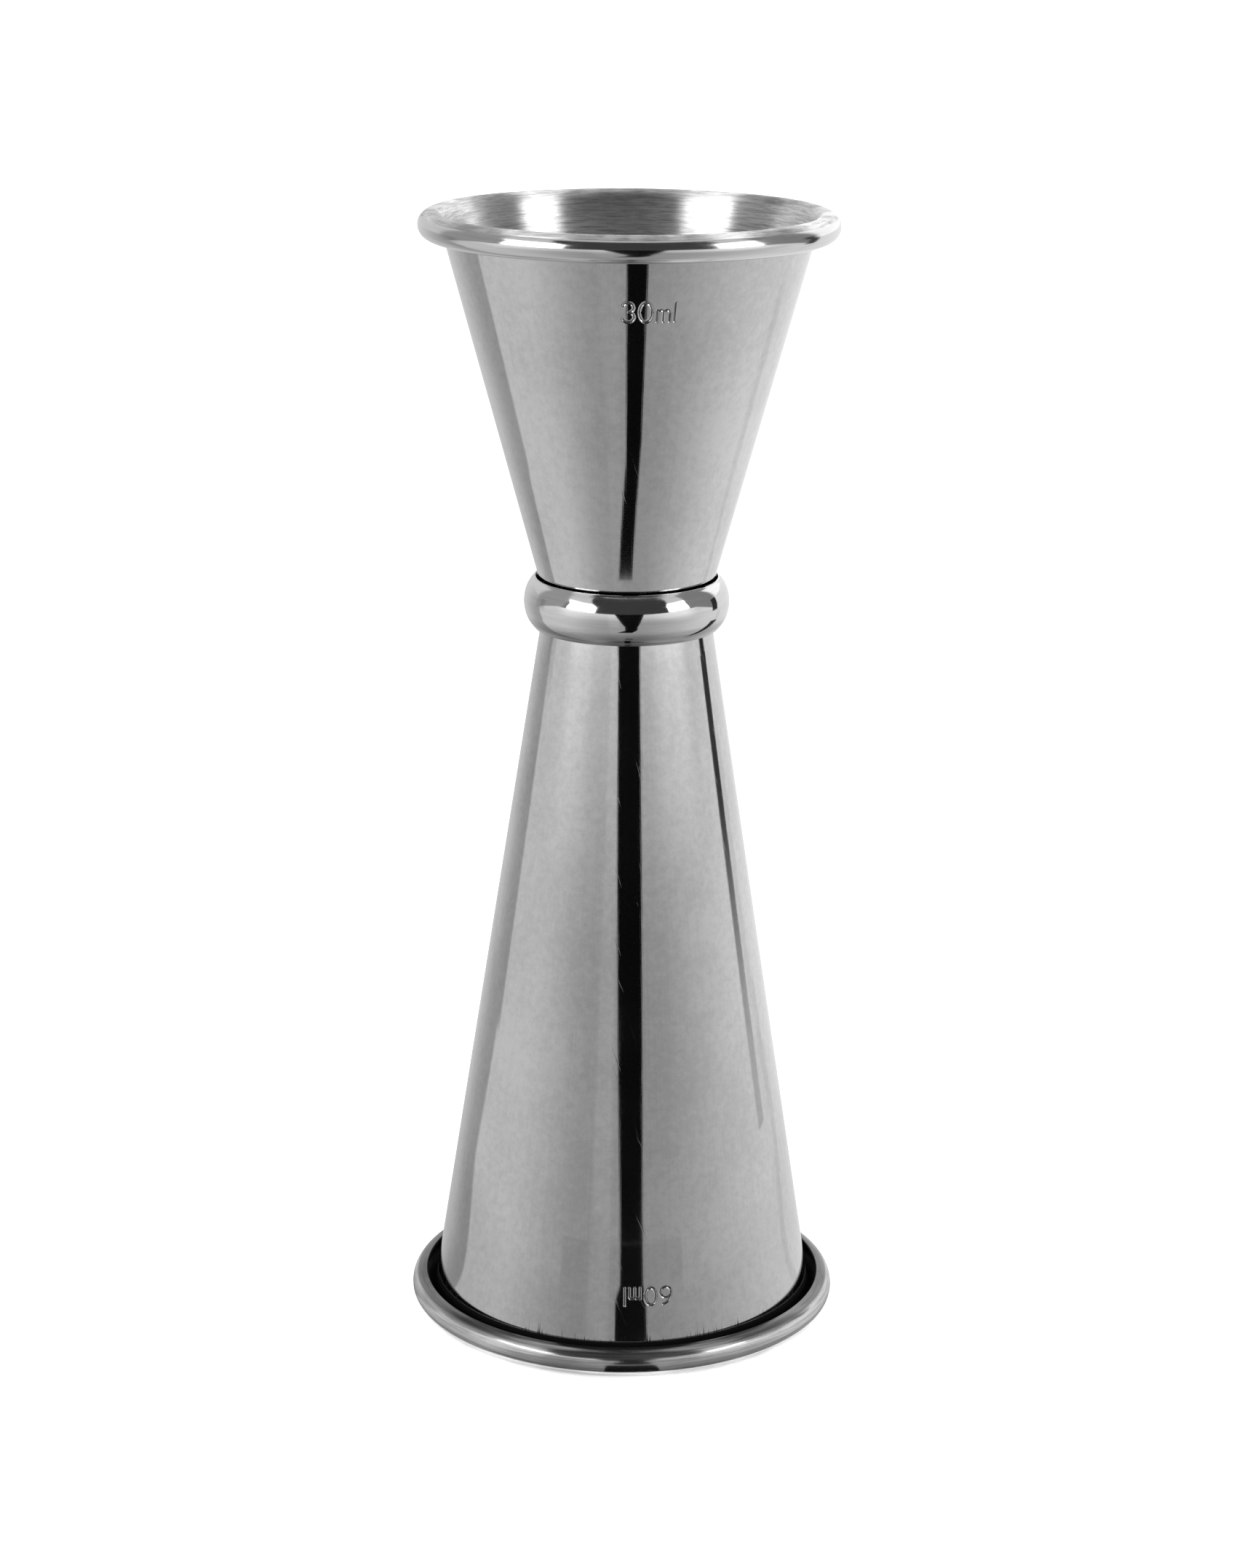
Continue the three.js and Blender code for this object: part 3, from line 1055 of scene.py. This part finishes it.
def build_surroundings():
    """The pale floor and the soft white light that the camera sees."""
    half = FLOOR_HALF_WIDTH
    mesh = bpy.data.meshes.new("studio_floor")
    corners = [(-half, -half, 0), (half, -half, 0), (half, half, 0), (-half, half, 0)]
    mesh.from_pydata(corners, [], [(0, 1, 2, 3)])
    paper = Shader("studio_floor", grey(FLOOR_WHITE), 0.7, metallic=0.0)
    paper.set_surface("Emission Color", (1, 1, 1, 1))
    paper.set_surface("Emission Strength", FLOOR_GLOW)
    add_staging("studio_floor", mesh, paper.material)

    world = bpy.data.worlds.new("studio")
    world.use_nodes = True
    background = world.node_tree.nodes["Background"]
    background.inputs["Color"].default_value = (1, 1, 1, 1)
    background.inputs["Strength"].default_value = WORLD_STRENGTH
    bpy.context.scene.world = world
    world.cycles_visibility.glossy = False


def build_camera():
    data = bpy.data.cameras.new("camera")
    data.lens = LENS_MM
    data.sensor_width = SENSOR_MM
    camera = bpy.data.objects.new("camera", data)
    bpy.context.scene.collection.objects.link(camera)
    place = Matrix.Translation((CAMERA_SIDE * M, -CAMERA_DISTANCE * M, CAMERA_HEIGHT * M))
    pitch = Matrix.Rotation(math.pi / 2 - CAMERA_PITCH, 4, "X")
    roll = Matrix.Rotation(CAMERA_ROLL, 4, "Z")
    camera.matrix_world = place @ pitch @ roll
    bpy.context.scene.camera = camera


# ==== assembly =====================================================================================

build_camera()
build_reflectors()
build_surroundings()

small_shape = cup_shape(**SMALL_CUP)
large_shape = cup_shape(**LARGE_CUP)

small_outside = drawn_steel("small_cup_outside", rough=(0.03, 0.06), grain_depth=0.0014,
                            seam_start=OVERALL_HEIGHT, seam_side=1)
large_outside = drawn_steel("large_cup_outside", rough=(0.04, 0.08), grain_depth=0.0016,
                            seam_start=seam_height(large_shape, -1), seam_side=-1)
small_rim = brushed_steel("small_cup_rim", tone=0.64, rough=(0.08, 0.14), pitch_mm=0.25,
                          line_depth=0.0010, worn_height=OVERALL_HEIGHT, stretch=0.0)
# The large rim carries a band of painted shade over the top of its curl.
large_rim = brushed_steel("large_cup_rim", tone=0.62, rough=(0.15, 0.21), pitch_mm=0.20,
                          line_depth=0.0028, worn_height=0.0, stretch=0.4,
                          across=2.5, contrast=0.3, painted_shade=LARGE_RIM_PAINTED_SHADE)
small_inside = brushed_steel("small_cup_inside", worn_height=OVERALL_HEIGHT, **INSIDE_FINISH)
large_inside = brushed_steel("large_cup_inside", worn_height=0.0, **INSIDE_FINISH)
# The collar carries painted shade towards its lower edge.
collar_steel = brushed_steel("collar_steel", tone=0.69, rough=(0.05, 0.09), pitch_mm=0.30,
                             line_depth=0.0008, worn_height=WAIST_HEIGHT + COLLAR_HALF_HEIGHT,
                             stretch=0.0, painted_shade=COLLAR_PAINTED_SHADE)
# The curl's lip and its underside are near black, painted shade in the recess.
seam = seam_shade_and_mark_steel("rim_seam_shade", SEAM_SHADE_COLOR, 0.55)
mark_floor = seam_shade_and_mark_steel("mark_floor", MARK_COLOR, 0.5)

# Materials in the order of CUP_PARTS: outside, rim, inside, seam, mark, brow.
build_cup("small_cup_sheet", "small_cup", small_shape, SMALL_MARK, True,
          [small_outside, small_rim, small_inside, seam, mark_floor, small_inside])
build_cup("large_cup_sheet", "large_cup", large_shape, LARGE_MARK, False,
          [large_outside, large_rim, large_inside, seam, mark_floor, large_rim])
build_collar(small_shape, large_shape, collar_steel)
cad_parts["base_braze"].data.materials.clear()
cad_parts["base_braze"].data.materials.append(braze_alloy())

bpy.context.scene.view_settings.view_transform = "Standard"
